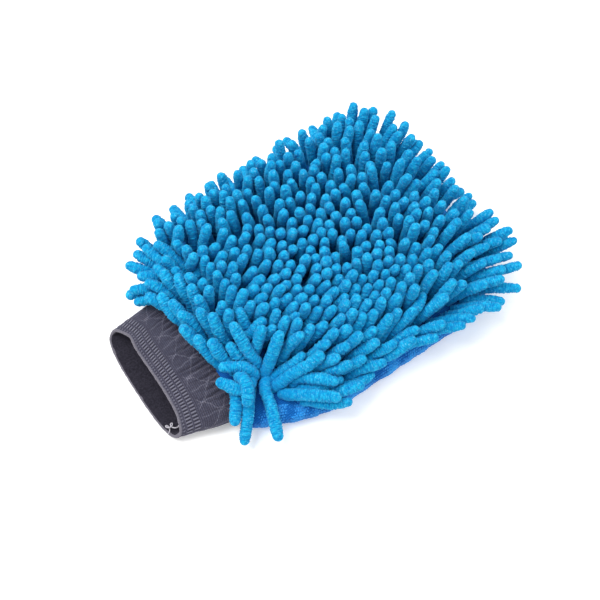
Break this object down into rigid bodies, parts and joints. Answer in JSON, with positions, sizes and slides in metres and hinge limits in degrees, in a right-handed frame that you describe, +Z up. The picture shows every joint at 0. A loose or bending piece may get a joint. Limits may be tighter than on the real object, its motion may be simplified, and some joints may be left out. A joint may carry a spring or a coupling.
{
  "type": "wash mitt",
  "caption": "Hand-worn wash mitt: flat pocket with rows of chenille noodles in front, towelling at the back, and a double knitted cuff that folds up at its seam.",
  "frame": {"origin": "middle of the mitt on the surface that it lies on", "axes": "+X from the cuff to the fingertips, +Z up from the back panel to the noodles"},
  "size_m": [0.2799, 0.2128, 0.049],
  "materials": {
    "chenille": "matt plush chenille yarn",
    "base_knit": "matt knit",
    "towelling": "matt looped towelling",
    "blue_thread": "matt thread",
    "cuff_knit": "matt patterned knit",
    "cuff_lining": "matt plain knit",
    "cuff_edge": "matt elastic knit",
    "grey_thread": "matt thread",
    "pale_thread": "matt thread"
  },
  "bodies": {
    "mitt": {"back_panel": "towelling", "front_base_cloth": "base_knit", "side_seam": "blue_thread", "cuff_join_seam": "grey_thread", "noodle_row_01": "chenille", "noodle_row_02": "chenille", "noodle_row_03": "chenille", "noodle_row_04": "chenille", "noodle_row_05": "chenille", "noodle_row_06": "chenille", "noodle_row_07": "chenille", "noodle_row_08": "chenille", "noodle_row_09": "chenille", "noodle_row_10": "chenille", "noodle_row_11": "chenille", "noodle_row_12": "chenille", "noodle_row_13": "chenille", "noodle_row_14": "chenille", "noodle_row_15": "chenille", "noodle_row_16": "chenille", "noodle_row_17": "chenille", "noodle_row_18": "chenille", "noodle_row_19": "chenille", "noodle_row_20": "chenille"},
    "cuff": {"cuff_outer_ply": "cuff_knit", "cuff_inner_ply": "cuff_lining", "cuff_rim": "cuff_edge", "cuff_side_seam": "grey_thread", "thread_tail": "pale_thread"}
  },
  "joints": [
    {"name": "cuff_fold", "type": "hinge", "parent": "mitt", "child": "cuff", "pos_m": [-0.0887, 0, 0.0183], "axis": [0, 1, 0], "range_deg": [0, 60]}
  ]
}
